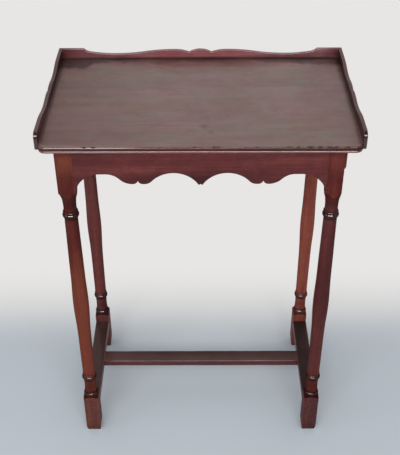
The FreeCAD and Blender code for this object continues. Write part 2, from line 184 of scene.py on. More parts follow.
class Outline:
    """A line drawn stretch by stretch in a plane, in millimetres, as arrays of points."""

    def __init__(self, x, y):
        self.stretches = [np.array([[x, y]], float)]
        self.heading = LEVEL

    @property
    def at(self):
        return self.stretches[-1][-1]

    def sweep_to(self, x, y, turn, steps):
        """Arc that leaves its chord by the angle turn and comes back to it by the same angle.
        At a share t of the way, in chord lengths, it has gone
        (1 - sin(turn (1 - 2t)) / sin(turn)) / 2 along the chord and
        (cos(turn (1 - 2t)) - cos(turn)) / (2 sin(turn)) to its left."""
        chord = np.array([x, y], float) - self.at
        left = np.array([-chord[1], chord[0]])
        share = shares(steps)[:, None]
        if abs(turn) < 1e-9:
            points = self.at + share * chord
        else:
            swing = turn * (1 - 2 * share)
            along = (1 - np.sin(swing) / math.sin(turn)) / 2
            aside = (np.cos(swing) - math.cos(turn)) / (2 * math.sin(turn))
            points = self.at + along * chord + aside * left
        self.stretches.append(points)
        self.heading = math.atan2(chord[1], chord[0]) - turn
        return self

    def line_to(self, x, y, steps=1):
        return self.sweep_to(x, y, 0, steps)

    def arc_to(self, x, y, steps, leave=None, arrive=None):
        """Arc that leaves or arrives along a heading; without one it goes on smoothly."""
        along = math.atan2(y - self.at[1], x - self.at[0])
        if arrive is None:
            turn = (self.heading if leave is None else leave) - along
        else:
            turn = along - arrive
        return self.sweep_to(x, y, math.atan2(math.sin(turn), math.cos(turn)), steps)

    def ogee_to(self, x, y, steps, share=0.5):
        """Two arcs, level at both ends, that turn into each other at a share of the way."""
        middle = self.at + share * (np.array([x, y]) - self.at)
        return self.arc_to(*middle, steps, leave=LEVEL).arc_to(x, y, steps, arrive=LEVEL)

    def bulge_to(self, x, y, out, steps):
        """Arc whose middle stands out by a length to the right of its chord."""
        chord = math.hypot(x - self.at[0], y - self.at[1])
        return self.sweep_to(x, y, -2 * math.atan(2 * out / chord), steps)

    def points(self):
        return np.concatenate(self.stretches)


def mirrored(points):
    """A line from its middle outwards, made whole: its mirror image, then itself."""
    return np.concatenate([(points * (-1, 1))[:0:-1], points])


def straight_lines(half, low, high, steps):
    """Lower and upper line of a plain bar."""
    along = np.linspace(-half, half, steps)[:, None] * (1, 0)
    return along + (0, low), along + (0, high)


def left_normals(line):
    """Unit normals to the left of a line at its points. At a corner the normal is the mean of
    its neighbours', made longer so that an offset keeps its width, but twice at most."""
    run = np.diff(line, axis=0)
    run /= np.linalg.norm(run, axis=1, keepdims=True)
    left = np.stack([-run[:, 1], run[:, 0]], axis=1)
    before = np.concatenate([left[:1], left])
    after = np.concatenate([left, left[-1:]])
    mean = before + after
    mean /= np.linalg.norm(mean, axis=1, keepdims=True)
    return mean / np.maximum(np.sum(mean * before, axis=1, keepdims=True), 0.5)


# ---- meshes
# Besides wear and wax, the second mark paints shade, the third paints light and shade as well as
# bleaching, and on the tray the first also paints glints and a highlight.
MARKS = ("worn", "grimy", "faded", "toned", "gleam")
EASED_EDGE = np.array([0.35, 0.8, 1, 0.8, 0.35])  # how worn the rows of an eased edge are


def add_piece(name, finish, slot, node, grid, marks, caps=2):
    """Weld a grid of points into a closed piece that takes the place of a node. The rows of a
    bar go round its section, and each end gets a flat cap, or the far end alone where the bar
    starts in one line. A turned piece has no caps, and its columns go round its axis.

    The finish reads five marks of each point: worn on rubbed edges, a mark for old wax and painted
    shade, one for bleached stretches and painted light, toned on dark ones, and gleam where the
    polish is thick. On the tray the worn mark also paints glints and a pink highlight."""
    index = np.arange(grid[..., 0].size).reshape(grid.shape[:2])
    ends = [index[:, 0].tolist(), index[::-1, -1].tolist()][2 - caps :]
    around = 0 if caps else 1
    index = np.concatenate([index, index.take([0], around)], around)
    quads = np.stack([index[:-1, :-1], index[:-1, 1:], index[1:, 1:], index[1:, :-1]], axis=-1)
    mesh = bpy.data.meshes.new(name)
    mesh.from_pydata(grid.reshape(-1, 3) * MM, [], quads.reshape(-1, 4).tolist() + ends)
    for mark in MARKS:
        values = np.broadcast_to(marks.get(mark, 0), grid.shape[:2])
        layer = mesh.attributes.new(mark, "FLOAT", "POINT")
        layer.data.foreach_set("value", values.astype(np.float32).ravel())
    shell = bmesh.new()
    shell.from_mesh(mesh)
    bmesh.ops.remove_doubles(shell, verts=shell.verts, dist=1e-6)
    bmesh.ops.recalc_face_normals(shell, faces=shell.faces)
    shell.to_mesh(mesh)
    shell.free()
    mesh.shade_smooth()
    mesh.set_sharp_from_angle(angle=math.radians(38))
    mesh.materials.append(finish)
    made = bpy.data.objects.new(name, mesh)
    bpy.context.collection.objects.link(made)
    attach(made, "root")
    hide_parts(node)


def soft_bar(lines, thickness, edges, face_rows):
    """A board sawn to a lower and an upper line with as many points, its four long edges eased.
    The edges are given as radius, how much it wanders, over what pitch and from what seed.

    Round the section the surface goes down the front, under, up the back and over the top. On a
    face it is ruled from line to line; on an edge of radius q, turned by the angle a, it lies
    q (1 - sin a) inside the line and q (1 - cos a) behind the face. Returned points are
    (along, depth behind the front, height), with the worn mark of each row."""
    lower, upper = lines
    softness, uneven, pitch, seed = edges
    softness = softness + wander(upper[:, 0], uneven, pitch, seed)
    guard = 0.7  # a row beside each edge keeps the flat face flat in the light
    turn = np.linspace(0, QUARTER, len(EASED_EDGE))
    side, rest = 1 - np.sin(turn), 1 - np.cos(turn)

    # share of the upper line; inset in softnesses and in guards; depth in softnesses, in guards
    # and in thicknesses; worn
    def rows(*parts):
        return np.stack(np.broadcast_arrays(*parts), axis=1)

    front_and_under = np.concatenate(
        [
            rows(np.linspace(1, 0, face_rows), 1, 1, 0, 0, 0, 0),
            rows(0, side, 0, rest, 0, 0, EASED_EDGE),
            rows(0, 0, 0, [1, -1], [1, -1], [0, 1], 0),
            rows(0, rest, 0, -side, 0, 1, EASED_EDGE),
        ]
    )
    back_and_over = front_and_under * (-1, 1, 1, -1, -1, -1, 1) + (1, 0, 0, 0, 0, 1, 0)
    columns = np.concatenate([front_and_under, back_and_over]).T[:, :, None]
    share, soft_in, guard_in, soft_back, guard_back, whole, worn = columns
    inset = (soft_in * softness + guard_in * guard)[..., None]
    depth = soft_back * softness + guard_back * guard + whole * thickness
    from_lower = lower + inset * left_normals(lower)
    from_upper = upper - inset * left_normals(upper)
    ruled = share[..., None] * from_upper + (1 - share[..., None]) * from_lower
    return np.stack([ruled[..., 0], depth, ruled[..., 1]], axis=-1), worn


def stand(grid, side, outer, height):
    """Points drawn as (along, depth, height) set up on a side of the table, whose outer face is
    at a distance from the middle."""
    along, depth, rise = grid[..., 0], outer - grid[..., 1], grid[..., 2] + height
    places = {
        "front": (along, -depth, rise),
        "back": (along, depth, rise),
        "left": (-depth, along, rise),
        "right": (depth, along, rise),
    }
    return np.stack(places[side], axis=-1)


# ---- shaders
class Value:
    """A socket that a shader sum can be written with."""

    def __init__(self, finish, socket):
        self.finish, self.socket = finish, socket

    def sums(operation, swapped=False):
        """A method that adds the Math node of an operation, with its sides swapped or not."""

        def add_node(self, other):
            sides = (other, self) if swapped else (self, other)
            return self.finish.node("Math", dict(enumerate(sides)), operation=operation)

        return add_node

    __add__, __radd__ = sums("ADD"), sums("ADD", swapped=True)
    __sub__, __rsub__ = sums("SUBTRACT"), sums("SUBTRACT", swapped=True)
    __mul__, __rmul__ = sums("MULTIPLY"), sums("MULTIPLY", swapped=True)


class Finish:
    """Nodes of a material or of the air round the table."""

    def __init__(self, owner):
        self.owner = owner
        owner.use_nodes = True
        self.tree = owner.node_tree
        self.tree.nodes.clear()

    def node(self, kind, inputs=None, output=0, **settings):
        """A node of a kind, with its settings, then its sockets' values or links."""
        made = self.tree.nodes.new("ShaderNode" + kind)
        for key, value in settings.items():
            if key == "stops":
                ramp_stops = made.color_ramp.elements
                while len(ramp_stops) < len(value):
                    ramp_stops.new(1)
                for stop, (place, shade) in zip(ramp_stops, value):
                    stop.position = place
                    stop.color = (*shade, 1)
            else:
                setattr(made, key, value)
        for key, value in (inputs or {}).items():
            socket = made.inputs[key]
            if isinstance(value, Value):
                self.tree.links.new(value.socket, socket)
            elif socket.type == "RGBA":
                socket.default_value = (*value, 1)
            else:
                socket.default_value = value
        return Value(self, made.outputs[output])

    def mix(self, share, first, second):
        """Colour between two colours."""
        inputs = {0: share, 6: first, 7: second}
        return self.node("Mix", inputs, output=2, data_type="RGBA", clamp_factor=True)

    def step(self, value, low, high, start=0, end=1):
        """Smooth step from start to end while a value goes from low to high."""
        inputs = {"Value": value, 1: low, 2: high, 3: start, 4: end}
        return self.node("MapRange", inputs, interpolation_type="SMOOTHSTEP")

    def mark(self, name):
        return self.node("Attribute", output="Fac", attribute_name=name)

    def axis(self, vector, number):
        return self.node("SeparateXYZ", {0: vector}, number)

    def end(self, kind, surface):
        """Hand the finished shader to the output, and give back what it belongs to."""
        output = self.tree.nodes.new("ShaderNodeOutput" + kind)
        self.tree.links.new(surface.socket, output.inputs["Surface"])
        return self.owner


class Wood(Finish):
    """Noises that follow the grain of a piece: long along it and short across it."""

    def __init__(self, name, grain):
        super().__init__(bpy.data.materials.new(name))
        self.grain = grain
        self.place = self.node("TexCoord", output="Object")

    def noise(self, along, across, detail=2, roughness=0.5, distortion=0, shift=0):
        """Noise with so many waves to the metre along the grain and across it."""
        scale = [across] * 3
        scale[self.grain] = along
        stretch = {"Vector": self.place, "Location": [shift] * 3, "Scale": scale}
        inputs = {
            "Vector": self.node("Mapping", stretch),
            "Scale": 1,
            "Detail": detail,
            "Roughness": roughness,
            "Distortion": distortion,
        }
        return self.node("TexNoise", inputs)

    def growth(self, rings, warp):
        """Growth layers of a slanting saw cut: a sine of the distance across the grain, pushed
        about by a slow noise, which draws long pointed figures on a wide board."""
        first, second = (self.axis(self.place, axis) for axis in range(3) if axis != self.grain)
        across = first + second * 0.8
        phase = across * rings + self.noise(1.1, 9, 2, shift=3) * warp
        return self.node("Math", {0: phase}, operation="SINE") * 0.5 + 0.5

    def bump(self, height, strength):
        return self.node("Bump", {"Strength": strength, "Distance": 0.0005, "Height": height})


TURNED = {"rings": 190, "figuring": 55}
POLISH = {  # what sets the polish of each part apart
    "tray_top": dict(tint=(0.88, 1.05, 1.2), haze=0.62, gloss=0.19, sheen=0.5, rings=150),
    "gallery_back": dict(tint=(1.52, 2.1, 3.6), gloss=0.08, sheen=0.1),
    "gallery_side": dict(tint=(0.85, 1.5, 1.9), gloss=0.05),
    "apron": dict(tint=(0.90, 1.09, 1.53), gloss=0.12),
    "leg_front_left": dict(tint=(0.65, 0.68, 0.74), fade=0.25, **TURNED),
    "leg_front_right": dict(tint=(0.62, 0.6, 0.84), gloss=0.05, **TURNED),
    "leg_back_left": dict(tint=(0.65, 0.82, 1.33), **TURNED),
    "leg_back_right": dict(tint=(1.3, 1.6, 1.85), **TURNED),
    "stretcher_cross": dict(tint=(0.65, 0.78, 1.36), haze=0.30, gloss=0.16, sheen=0.15),
    "stretcher_side": dict(tint=(0.30, 0.44, 0.66), haze=0.10, gloss=0.14, sheen=0.15),
}


def polished_mahogany(
    part, grain, shades, tint, haze=0, gloss=0.07, sheen=0, rings=260, fade=0.2, figuring=20
):
    """Old French-polished mahogany: broad figure, growth layers, streaks and pores along the
    grain, edges rubbed pale, grooves full of dark wax, painted shade, light and reflections where
    the marks ask for them, and a coat that varies in gloss."""
    wood = Wood(part + "_polish", grain)
    figure = wood.noise(3, figuring, 4, 0.55, 0.6)
    layers = wood.growth(rings, 26)
    mottle = wood.noise(60, 45, 3, 0.6, 0.4, shift=51)
    streak = wood.noise(9, 330, 3, 0.6, shift=7)
    fine = wood.noise(30, 1500, 2, 0.6, shift=13)
    pores = wood.step(wood.noise(120, 3200, 1, 0.5, shift=21), 0.60, 0.72)
    patch = wood.noise(9, 12, 3, 0.6, shift=31)
    scuff = wood.noise(160, 190, 3, 0.65, shift=41)

    deep, common, pale = (
        np.multiply(shade, tint) for shade in (shades.dark, shades.middle, shades.light)
    )
    depth = figure * 0.33 + layers * 0.07 + streak * 0.27 + fine * 0.12 + mottle * 0.21
    # Bleached wood shows paler; where this mark paints light, as at the top of the aprons under
    # the board, the wood is paler too.
    if not haze:
        depth = depth + wood.mark("faded") * fade
    stops = [(0.28, deep), (0.49, common), (0.74, pale), (1, 1.3 * pale)]
    shade = wood.node("ValToRGB", {0: depth}, stops=stops)
    shade = wood.mix(pores * 0.55, shade, deep)
    if haze:
        cloud = wood.noise(17, 24, 5, 0.62, 0.5, shift=61)
        tinge = wood.step(wood.noise(13, 21, 4, 0.6, shift=71), 0.4, 0.6)
        greenish = np.multiply(shades.haze, (0.93, 1.02, 0.91))
        reddish = np.multiply(shades.haze, (1.12, 0.93, 1.03))
        thickness = cloud * 0.56 + streak * 0.24 + fine * 0.2
        film = wood.step(thickness, 0.33, 0.67, haze * 0.45, haze * 1.3)
        # The film is thinner where shade and the back gallery's reflection are painted on the
        # tray.
        shade = wood.mix(film * wood.mark("faded"), shade, wood.mix(tinge, greenish, reddish))
    # Rubbed edges show paler wood; on the tray this also paints glints reflected from the back
    # gallery and a pink highlight on the lower bead.
    rubbed = wood.mark("worn") * wood.step(scuff, 0.38, 0.62)
    shade = wood.mix(rubbed * 0.5, shade, shades.worn)
    # Old wax and painted shade: the wood is darkened towards the old-wax colour, roughened and
    # dulled where this mark is set.
    waxed_and_shaded = wood.mark("grimy") * wood.step(patch, 0.2, 0.6, 0.6, 1)
    shade = wood.mix(waxed_and_shaded * 0.85, shade, shades.grime_and_shade_colour)
    shade = wood.mix(wood.mark("toned"), shade, 0.45 * deep)

    rough = 0.30 + (1 - figure) * 0.10 + pores * 0.12 + waxed_and_shaded * 0.25 + (patch - 0.5) * 0.12
    dulling = (1 + (patch - 0.5) * 0.6) * (1 - waxed_and_shaded)
    height = streak * 0.35 + fine * 0.15 - pores * 0.5 + patch * 1.2 + scuff * 0.12
    skin = {
        "Base Color": shade,
        "Roughness": rough,
        "Coat Weight": (gloss + wood.mark("gleam")) * dulling,
        "Coat Roughness": 0.11,
        "Coat IOR": 2.2,
        "Specular IOR Level": sheen,
        "Normal": wood.bump(height, 0.5),
    }
    return wood.end("Material", wood.node("BsdfPrincipled", skin))


def polish(part, grain, scene):
    """The polish of a part, as the table of polishes gives it."""
    return polished_mahogany(part, grain, scene.teatable_finish, **POLISH[part])


def bare_wood(name, grain, shades):
    """Sawn and planed wood that was never polished, gone dull and dusty."""
    wood = Wood(name, grain)
    figure = wood.noise(4, 30, 4, 0.55, 0.5)
    streak = wood.noise(9, 420, 3, 0.65, shift=5)
    pores = wood.step(wood.noise(110, 2400, 1, 0.5, shift=11), 0.58, 0.72)
    dust = wood.noise(40, 44, 3, 0.6, shift=17)
    pale = np.array(shades.bare)
    stops = [(0.32, 0.45 * pale), (0.68, pale)]
    shade = wood.node("ValToRGB", {0: figure * 0.5 + streak * 0.5}, stops=stops)
    shade = wood.mix(pores * 0.5, shade, 0.3 * pale)
    shade = wood.mix(wood.step(dust, 0.45, 0.75, 0, 0.28), shade, shades.grime_and_shade_colour)
    normal = wood.bump(streak * 0.6 - pores * 0.6 + dust * 0.3, 0.6)
    skin = {"Base Color": shade, "Roughness": 0.72 + dust * 0.15, "Normal": normal}
    return wood.end("Material", wood.node("BsdfPrincipled", skin))


# ---- tray board
CHIPS = (  # knocks along the upper bead: X, half length, depth
    (-181, 1.8, 0.9), (-166, 2.6, 0.8), (-62, 1.5, 0.5), (-9, 4, 0.45), (21, 1.6, 0.7),
    (27, 5.5, 0.42), (70, 2.6, 0.5), (88, 1.5, 0.65), (138, 4, 0.5), (152, 2.2, 0.8),
    (171, 6, 0.62), (186, 2.6, 0.9), (201, 6, 0.6), (212, 2.4, 1), (229, 3.5, 0.7),
)
SPOTS = (  # stains on the tray: X, Y, radius, strength
    (6, -96, 5.5, 0.5), (17, -114, 3.5, 0.5), (44, -62, 4, 0.3), (-22, -30, 6, 0.15),
)
GALLERY_GLINTS = (  # pale streaks before the back gallery, painted reflections of its top edge: X, half length, distance, slant, strength
    (-75, 28, 31, 0.3, 1), (152, 46, 40, -0.1, 1), (165, 38, 28, 0.12, 0.9),
)


def nosing(tray):
    """Section of the moulded edge from the top round to the underside, as (inset, height): a
    small bead, a quirk and a larger bead. Also how much a knock takes off at each point."""
    top, flat_end = BOARD_THICKNESS, 6
    lower, upper, quirk = tray.lower_bead / MM, tray.upper_bead / MM, tray.quirk / MM
    round_upper, round_lower = tray.upper_inset / MM + upper / 2, lower / 2
    line = Outline(flat_end, top).line_to(round_upper + 0.6, top, 2).line_to(round_upper, top)
    line.sweep_to(round_upper, top - upper, -QUARTER, 12)
    line.line_to(quirk, top - upper - 0.15).line_to(quirk, lower + 0.15, 3)
    line.line_to(round_lower, lower).sweep_to(round_lower, 0, -QUARTER, 16)
    points = line.line_to(round_lower + 0.6, 0).line_to(flat_end, 0, 2).points()
    return points, bump_at(points[:, 1], top - 0.5, 1.1) * (points[:, 0] < 3.4)


def board_surface(tray):
    """The board: its section is carried round the front corners and along the front; above and
    below it the flats are ruled straight to the back edge."""
    corner = tray.corner / MM
    side, front, back = BOARD_HIGH[0], -BOARD_LOW[1], BOARD_HIGH[1]
    # path as places and inward directions, from the left side round to the right side
    turn = np.linspace(0, QUARTER, 15)
    inward = np.stack([np.cos(turn), np.sin(turn)], axis=1)
    left = (corner - side, corner - front) - corner * inward
    straight = np.linspace(corner - side, side - corner, 241)[1:-1, None]
    path = np.concatenate([left, straight * (1, 0) - (0, front), (left * (-1, 1))[::-1]])
    inward = np.concatenate([inward, straight * 0 + (0, 1), (inward * (-1, 1))[::-1]])

    section, knocked = nosing(tray)
    knocked = knocked[:, None]
    knock = sum(depth * bump_at(path[:, 0], place, half) for place, half, depth in CHIPS)
    knock = knock + 0.12 + wander(path[:, 0], 0.12, 90, 3)
    edge = path + (section[:, :1] + knocked * knock)[..., None] * inward
    moulded = np.dstack([edge, section[:, 1:] - knocked * knock * 0.55 + FRAME_HEIGHT])
    # plain ends, where the side galleries stand
    plain = section[:, None, 1:] * (0, 0, 1) + (-side, corner - front, FRAME_HEIGHT)
    moulded = np.concatenate([plain, moulded, plain * (-1, 1, 1)], axis=1)

    share = np.linspace(0, 1, 81)[1:-1, None, None]
    top_edge, bottom_edge = moulded[0], moulded[-1]
    back_top = top_edge * (1, 0, 1) + (0, back, 0)
    back_bottom = top_edge * (1, 0, 0) + (0, back, FRAME_HEIGHT)
    top = back_top + share * (top_edge - back_top)
    bottom = bottom_edge + share[::8] * (back_bottom - bottom_edge)
    grid = np.concatenate([back_top[None], top, moulded, bottom, back_bottom[None]])
    return grid, board_marks(tray, grid, section, len(top) + 1, knocked * (knock - 0.3))


def board_marks(tray, grid, section, top_rows, lost):
    """Marks of the board's points, of which so many rows are its top and then come those of the
    section; lost is how deep the knocks along the bead are."""
    rows_after = len(grid) - top_rows - len(section)

    def column(values, on_top=0):
        """Values of the section's rows, with one for the top and 0 for the underside."""
        return np.pad(values, (top_rows, rows_after), constant_values=(on_top, 0))[:, None]

    inset, height = section.T
    relief = inset - smoothed(inset, np.ones(13))
    moulding = np.abs(height - BOARD_THICKNESS / 2) < BOARD_THICKNESS / 2 - 0.01
    crest = np.clip(-relief, 0, 1) * moulding
    groove = column(np.clip(relief / 0.9, 0, 0.25) * moulding)
    low_bead = height < tray.lower_bead / MM
    above_low_bead = column(height > tray.lower_bead / MM)
    on_top = column(0 * height, 1)

    x, y = grid[..., 0], grid[..., 1]
    out = np.abs(x)
    to_back = BOARD_HIGH[1] - y
    to_gallery = np.minimum(BOARD_HIGH[0] - out, to_back)
    behind_noses = y > BOARD_LOW[1] + tray.corner / MM - 1
    # old wax along the foot of the galleries, with painted shade where they meet the board
    corner_wax_and_shade = 0.85 * np.exp(-to_gallery / 6) * behind_noses
    # painted shade: the tray darkens towards its left side and less towards its right, and on the
    # left its film is thinner
    left_shade_share = ramp(x, -80, -250)
    side_shade = 0.34 * left_shade_share + 0.2 * ramp(x, 140, 260)
    spots = sum(
        strength * bump_at(x, spot_x, radius) * bump_at(y, spot_y, 1.3 * radius)
        for spot_x, spot_y, radius, strength in SPOTS
    )
    chipped = np.pad(np.clip(3.2 * lost, 0, 1), ((top_rows, rows_after), (1, 1)))
    wax_and_shade = np.maximum(np.maximum(groove, corner_wax_and_shade), (side_shade + spots) * on_top + chipped)
    # a darker strip before the back gallery: a painted reflection of the gallery
    strip = 22 + np.where(x < 0, 22, 11) * ramp(out, 196, 212) + wander(x, 9, 130, 9)
    reflection_darkness = 0.42 + 0.25 * ramp(out, 60, 170) + wander(x, 0.16, 160, 12)
    wax_and_shade = wax_and_shade + reflection_darkness * ramp(to_back, strip, strip - 7) * on_top
    # a band beside it with less film, so that the red wood shows: a painted reflection of the back
    # gallery
    band = 36 + 20 * bump_at(x, -20, 75) + wander(x, 16, 190, 5)
    painted_reflection = 0.75 * ramp(to_back, band, band - 18) * on_top
    faded = column(1 - moulding, 1) * (1 - 0.5 * left_shade_share * on_top) * (1 - painted_reflection)

    # The beads' crests are rubbed pale, which on the lower bead also paints its highlight pink;
    # most so in the middle, where it gleams less
    pink_highlight = bump_at(x, 50, 150)
    round_corner = ramp(out, 232, 246)
    # painted glints: pale streaks that stand for reflections of the back gallery's top edge
    painted_glints = sum(
        strength * bump_at(x, middle, half) * bump_at(to_back, far + slant * (x - middle), 4.5)
        for middle, half, far, slant, strength in GALLERY_GLINTS
    )
    worn = column(crest * np.where(low_bead, 0.6, 0.1)) + painted_glints * on_top
    worn = worn * (1 + 0.6 * pink_highlight) * (1 - 0.85 * round_corner)
    toned = column(moulding * np.where(low_bead, 0, 0.3)) * (1 + 1.8 * ramp(x, 10, 120))
    toned = np.maximum(toned, 0.35 * round_corner * column(moulding))
    upper_polish, lower_polish = 0.04 + 0.95 * ramp(x, -95, -125), 0.9 - 0.3 * pink_highlight
    gleam = column(crest) * np.where(above_low_bead, upper_polish, lower_polish)
    return {"worn": worn, "grimy": wax_and_shade, "faded": faded, "toned": toned, "gleam": gleam}


# ---- gallery
GALLERY_THICKNESS = 6
GALLERY_RISE = 18.4
GALLERY_SIDE = BOARD_HIGH[0] + GALLERY_THICKNESS
GALLERY_BACK = BOARD_HIGH[1] + GALLERY_THICKNESS
GALLERY_FRONT = BOARD_LOW[1] + 12


def back_gallery_lines():
    """Lower and upper line of the back gallery, in X and height above its foot: a flat end, a
    stepped dip, a hump, a cleft and a lobe in the middle."""
    foot = BOARD_THICKNESS
    flat = GALLERY_SIDE - 45.5
    line = Outline(0, foot + 17.2).arc_to(20.4, foot + 11.5, 14, leave=LEVEL)
    line.arc_to(47, foot + 16.3, 16, arrive=LEVEL)
    line.ogee_to(flat - 58, foot + 8.3, 24)
    line.arc_to(flat - 12, foot + 12.2, 20, leave=LEVEL)
    line.arc_to(flat, foot + GALLERY_RISE, 8)
    upper = mirrored(line.line_to(GALLERY_SIDE, foot + GALLERY_RISE, 14).points())
    return upper * (1, 0), upper


def side_gallery_lines(nose):
    """Lower and upper line of a side gallery, in Y and height above its foot, from its rounded
    front end to the back corner."""
    foot, start, heel = BOARD_THICKNESS, 9, 2.5
    top = foot + GALLERY_RISE
    front, back = GALLERY_FRONT, GALLERY_BACK
    middle = (front + back) / 2
    upper = Outline(front, start).line_to(front, top - nose, 4)
    upper.arc_to(front + nose, top, 14, leave=QUARTER)
    upper.line_to(front + 44, top, 10)
    upper.ogee_to(middle - 52, foot + 12, 12)
    upper.ogee_to(middle - 17, foot + 14.6, 10)
    upper.arc_to(middle, foot + 12.4, 10, leave=LEVEL)
    upper.arc_to(middle + 17, foot + 14.6, 10, arrive=LEVEL)
    upper.ogee_to(middle + 52, foot + 12, 10)
    upper.ogee_to(back - 44, top, 12)
    upper = upper.line_to(back, top, 12).points()
    lower = Outline(front, start).line_to(front, heel, 4)
    lower.arc_to(front + heel, 0, 7, leave=-QUARTER)
    lower = lower.line_to(front + nose, 0, 7).points()
    return np.concatenate([lower, upper[len(lower) :] * (1, 0)]), upper


def mitre(grid, end):
    """Cut the end of a bar at 45 degrees: over its last 20 mm the bar is drawn in, in the end
    by as much as its depth."""
    way, along = np.sign(end), grid[..., 0]
    share = np.maximum(0, 1 - (abs(end) - way * along) / 20)
    grid[..., 0] = along - way * share * grid[..., 1]


# ---- aprons
def arch_and_bracket(line, apron, inner, span, level, steps):
    """Lower and upper line of an apron: the line drawn so far goes up to an arch with a level
    crown and down a bracket that spans so much, and is mirrored about the middle."""
    arch, end, bracket = -apron.arch_depth / MM, -apron.end_depth / MM, inner - 2.3
    crown = bracket - span
    line.ogee_to(crown - level, arch, 18).line_to(crown, arch, steps[0])
    line.arc_to(bracket, end, steps[1], leave=LEVEL).line_to(inner, end, 2)
    lower = mirrored(line.points())
    return lower, lower * (1, 0)


def front_apron_lines(apron):
    """Lines of the front apron, in X and height from its top: a split pendant in the middle, an
    arch, a double lobe, an arch and a bracket."""
    lobe, cleft, drop = (
        -depth / MM for depth in (apron.lobe_depth, apron.cleft_depth, apron.pendant_depth)
    )
    line = Outline(0, drop + 2).line_to(3.1, drop, 3)
    line.arc_to(44, -52.8, 26, arrive=LEVEL)
    line.ogee_to(91.5, lobe, 18, share=0.75).line_to(94, lobe, 2)
    line.arc_to(102.3, cleft, 10, leave=LEVEL).arc_to(110.6, lobe, 10, arrive=LEVEL)
    return arch_and_bracket(line, apron, INNER_X, 39, 10, (6, 26))


def side_apron_lines(apron):
    """Lines of a side apron, in Y and height from its top: half a double lobe, an arch and a
    bracket on each side of the middle."""
    line = Outline(0, -apron.cleft_depth / MM)
    line.arc_to(8.3, -apron.lobe_depth / MM, 10, arrive=LEVEL)
    return arch_and_bracket(line, apron, INNER_Y, 33, 8, (5, 24))


# ---- legs
BLOCK_ROUND = 13.5  # radius at which the turning leaves the foot block
LOWER_RING, UPPER_RING = 146, 538  # heights of the two rings' middles
NECK, NECK_HEIGHT = 12, 569  # radius and height of the neck under the top block
COLUMN = (  # height and radius of the column between its two rings
    (154.4, 11.8), (163, 11.75), (185, 11.85), (207, 11.95), (220, 12), (240, 12.1),
    (262, 12.25), (284, 12.7), (292, 13), (302, 13.45), (312, 13.85), (322, 14.15),
    (332, 14.3), (342, 14.35), (352, 14.2), (361, 13.95), (371, 13.65), (380, 13.35),
    (390, 13), (408, 12.8), (427, 12.65), (445, 12.55), (463, 12.25), (489, 11.95),
    (515, 11.65), (533.3, 11.5),
)
DARKENED = (  # dark stretches of the turned part: height, half length, strength
    (104, 9, 0.85), (124, 13, 0.35), (147.5, 8, 0.84), (540, 9, 0.84), (566, 20, 0.5),
)
FADED = {  # how far each leg is bleached: height, strength
    "front_left": (
        (0, 0.5), (97, 0.6), (140, 0.6), (152, 1.2), (290, 1.2), (400, 1), (480, 0),
        (600, 0), (640, 1.1),
    ),
    "front_right": (
        (0, -0.3), (97, -0.3), (112, 0.6), (260, 0.6), (350, 0), (600, 0), (640, 0.7),
    ),
    "back_left": ((0, 0.2), (150, 0.8)),
    "back_right": ((0, 0.2), (150, 0.5)),
}


def turned_ring(line, height, legs):
    """A round ring with a quirk and a small bead above it, drawn upwards on the profile."""
    tall, ring, bead = legs.ring_height / MM, legs.ring / MM, legs.bead / MM
    foot, top = height - tall / 2, height + tall / 2
    line.line_to(12.1, foot + 0.2).bulge_to(12.1, top - 0.3, ring - 12.1, 16)
    line.line_to(11.5, top + 0.1).line_to(11.6, top + 0.3)
    line.bulge_to(11.6, top + 3.5, bead - 11.6, 8).line_to(11.35, top + 3.9)


def turned_profile(legs):
    """Radius and height of the turned part, from the shoulder of the foot block up to the
    shoulder of the top block."""
    foot = legs.foot_block / MM
    line = Outline(BLOCK_ROUND, foot - 0.1).line_to(12.1, foot + 0.2)
    line.bulge_to(12.1, foot + 8.8, legs.collar / MM - 12.05, 16)
    line.line_to(11.85, foot + 9.5).line_to(12, foot + 10.4)
    line.bulge_to(11.8, 141, -0.75, 12)
    turned_ring(line, LOWER_RING, legs)
    heights, radii = np.array(COLUMN).T
    fine = np.linspace(heights[0], heights[-1], 381)
    radii = smoothed(np.interp(fine, heights, radii), np.hanning(23))
    line.stretches.append(np.stack([radii, fine], axis=1)[5::5])
    turned_ring(line, UPPER_RING, legs)
    return line.bulge_to(NECK, NECK_HEIGHT, -0.55, 14).points()


def shoulder(legs):
    """Radius and height of the shoulder under the top block: it swells out of the neck and ends
    in a nearly level cut through the corners."""
    head = FRAME_HEIGHT - legs.top_block / MM
    line = Outline(NECK, NECK_HEIGHT).arc_to(14.4, 578, 8, leave=math.radians(84))
    return line.line_to(16.6, head - 2.6, 6).line_to(21, head - 0.3, 6).points()


def soft_square(half, softness, face_steps=18):
    """Points round a square with eased corners, as complex numbers; the mark is 1 on the
    corners."""
    turn = np.linspace(0, QUARTER, len(EASED_EDGE))
    corner = (half - softness) * (1 + 1j) + softness * np.exp(1j * turn)
    face = np.linspace(half - softness, softness - half, face_steps + 1)[1:-1] + 1j * half
    quarters = np.array([1, 1j, -1, -1j])[:, None]
    points = (quarters * np.concatenate([corner, face])).ravel()
    return points, np.tile(np.concatenate([EASED_EDGE, np.zeros(len(face))]), 4)


def bend(start, corner, end, share):
    """Quadratic curve from start to end that is drawn towards a corner."""
    return (1 - share) ** 2 * start + 2 * share * (1 - share) * corner + share**2 * end


